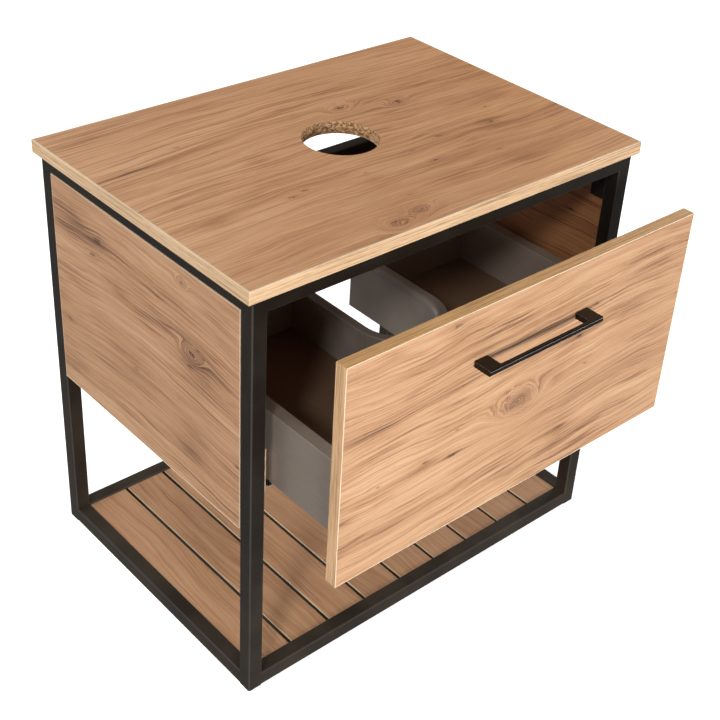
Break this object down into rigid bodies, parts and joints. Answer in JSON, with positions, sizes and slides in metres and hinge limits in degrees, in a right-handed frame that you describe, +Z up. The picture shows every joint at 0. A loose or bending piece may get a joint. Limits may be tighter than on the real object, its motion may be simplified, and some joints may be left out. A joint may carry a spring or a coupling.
{
  "type": "washbasin vanity base unit",
  "caption": "Oak-look vanity base unit for a counter-top basin: square-tube steel frame, full-extension drawer with a siphon recess, slatted shelf and a waste cut-out.",
  "frame": {"origin": "on the floor, on the centreline, in the middle of the back bottom rail's underside", "axes": "+X to the right seen from the front, +Y to the back, against the wall, +Z up; the drawer opens along -Y"},
  "size_m": [0.6, 0.558, 0.569],
  "materials": {
    "oak_laminate": "satin textured oak-look laminate on chipboard, grain along the length",
    "oak_front": "satin textured oak-look laminate on chipboard, lighter, grain across the width",
    "oak_edge_band": "pale oak-look edge band, softly rounded",
    "slat_oak": "satin oak-look slat with pale banded edges",
    "frame_steel": "fine-textured satin black powder coat",
    "drawer_board": "warm grey melamine-faced board, satin",
    "recess_plastic": "warm grey moulded plastic, satin",
    "handle_metal": "satin black with a polished front arris",
    "zinc_steel": "bright zinc-plated sheet steel",
    "screw_steel": "zinc-plated screw",
    "roller_nylon": "natural nylon",
    "carriage_plastic": "black moulded plastic",
    "clip_plastic": "grey moulded plastic",
    "plug_plastic": "black moulded plastic"
  },
  "bodies": {
    "cabinet": {"worktop": "oak_laminate", "side_panel_left": "oak_laminate", "side_panel_right": "oak_laminate", "worktop_edge_band": "oak_edge_band", "side_panel_edge_bands": "oak_edge_band", "runner_batten_left": "oak_edge_band", "runner_batten_right": "oak_edge_band", "slat_1": "slat_oak", "slat_2": "slat_oak", "slat_3": "slat_oak", "slat_4": "slat_oak", "slat_5": "slat_oak", "slat_6": "slat_oak", "slat_7": "slat_oak", "slat_8": "slat_oak", "slat_9": "slat_oak", "leg_front_left": "frame_steel", "leg_front_right": "frame_steel", "leg_back_left": "frame_steel", "leg_back_right": "frame_steel", "top_rail_front": "frame_steel", "top_rail_back": "frame_steel", "top_rail_left": "frame_steel", "top_rail_right": "frame_steel", "bottom_rail_front": "frame_steel", "bottom_rail_back": "frame_steel", "bottom_rail_left": "frame_steel", "bottom_rail_right": "frame_steel", "back_cross_rail": "frame_steel", "panel_tabs": "frame_steel", "slat_ledge_front": "frame_steel", "slat_ledge_back": "frame_steel", "leg_plugs": "plug_plastic", "worktop_screws": "screw_steel", "panel_screws": "screw_steel", "batten_screws": "screw_steel", "runner_screws": "screw_steel", "slat_screws": "screw_steel", "runner_cabinet_left": "zinc_steel", "runner_cabinet_right": "zinc_steel"},
    "runner_middles": {"runner_middle_left": "zinc_steel", "runner_middle_right": "zinc_steel", "runner_carriages": "carriage_plastic", "runner_rollers": "roller_nylon"},
    "drawer": {"runner_drawer_left": "zinc_steel", "runner_drawer_right": "zinc_steel", "drawer_clips": "clip_plastic", "drawer_front": "oak_front", "drawer_front_edge_band": "oak_edge_band", "drawer_side_left": "drawer_board", "drawer_side_right": "drawer_board", "drawer_back_left": "drawer_board", "drawer_back_right": "drawer_board", "drawer_bottom": "drawer_board", "siphon_recess_wall": "recess_plastic", "drawer_cams": "screw_steel", "handle": "handle_metal", "handle_screws": "screw_steel"}
  },
  "joints": [
    {"name": "drawer_slide", "type": "slide", "parent": "cabinet", "child": "drawer", "axis": [0, -1, 0], "range_m": [-0.118, 0.182]},
    {"name": "runner_middle_slide", "type": "slide", "parent": "cabinet", "child": "runner_middles", "axis": [0, -1, 0], "range_m": [-0.059, 0.091]}
  ],
  "couplings": [
    {"joint": "runner_middle_slide", "follows": "drawer_slide", "ratio": 0.5}
  ]
}
